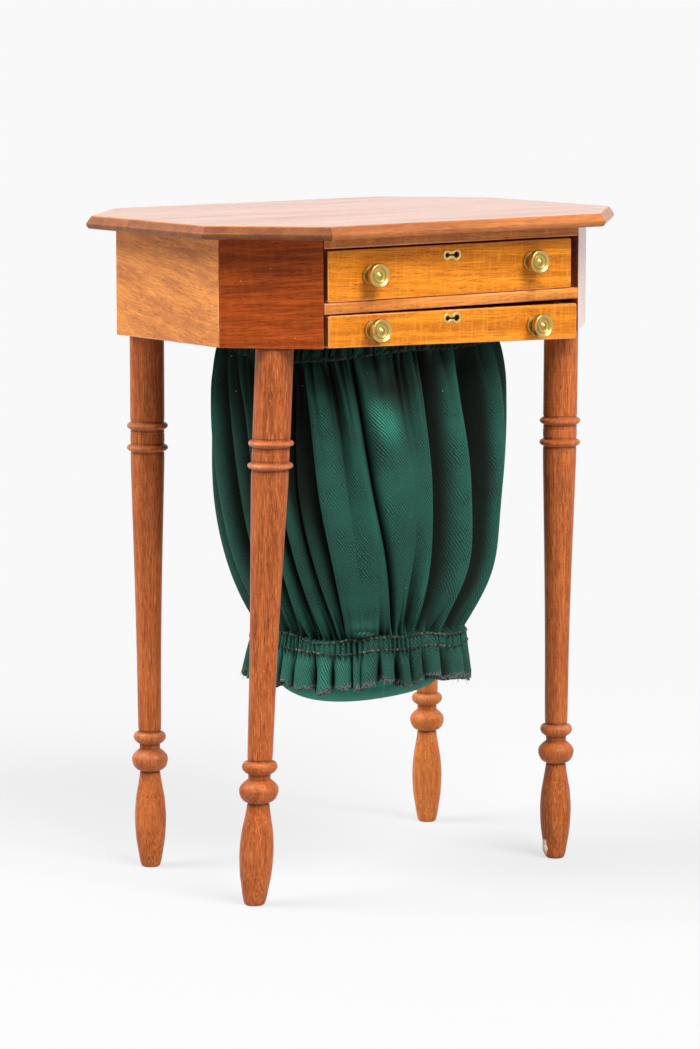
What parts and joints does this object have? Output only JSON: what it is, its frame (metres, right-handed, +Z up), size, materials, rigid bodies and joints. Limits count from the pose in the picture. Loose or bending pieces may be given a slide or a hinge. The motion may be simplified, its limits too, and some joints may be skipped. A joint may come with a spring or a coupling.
{
  "type": "miniature sewing work table",
  "caption": "Twelfth-scale sewing table: eight-sided case on turned legs, a shallow drawer and a sliding frame with a gathered cloth bag.",
  "frame": {"origin": "on the floor under the middle of the case", "axes": "+X to the right along the drawer fronts, -Y towards the front, +Z up"},
  "size_m": [0.0476, 0.0344, 0.0614],
  "materials": {
    "top_wood": "cherry, satin polish",
    "case_wood": "cherry, satin polish",
    "front_wood": "figured cherry, satin polish",
    "leg_wood": "turned cherry, satin polish",
    "inner_wood": "bare cherry",
    "brass": "turned and polished",
    "cloth": "green cotton twill"
  },
  "bodies": {
    "case": {"table_top": "top_wood", "left_side": "case_wood", "right_side": "case_wood", "back_panel": "case_wood", "front_left_post": "case_wood", "front_right_post": "case_wood", "back_left_post": "case_wood", "back_right_post": "case_wood", "top_rail": "front_wood", "middle_rail": "front_wood", "dust_board": "inner_wood", "left_runner": "inner_wood", "right_runner": "inner_wood", "front_left_leg": "leg_wood", "front_right_leg": "leg_wood", "back_left_leg": "leg_wood", "back_right_leg": "leg_wood"},
    "upper_drawer": {"upper_drawer_front": "front_wood", "upper_drawer_left_side": "inner_wood", "upper_drawer_right_side": "inner_wood", "upper_drawer_back": "inner_wood", "upper_drawer_bottom": "inner_wood", "upper_left_knob": "brass", "upper_right_knob": "brass", "upper_keyhole_plate": "brass"},
    "bag_slide": {"bag_slide_front": "front_wood", "bag_slide_left_rail": "inner_wood", "bag_slide_right_rail": "inner_wood", "bag_slide_back_rail": "inner_wood", "bag_board": "inner_wood", "lower_left_knob": "brass", "lower_right_knob": "brass", "lower_keyhole_plate": "brass", "bag": "cloth", "bag_base": "cloth"}
  },
  "joints": [
    {"name": "upper_drawer_slide", "type": "slide", "parent": "case", "child": "upper_drawer", "axis": [0, -1, 0], "range_m": [0, 0.018]},
    {"name": "bag_slide_slide", "type": "slide", "parent": "case", "child": "bag_slide", "axis": [0, -1, 0], "range_m": [0, 0.015]}
  ]
}
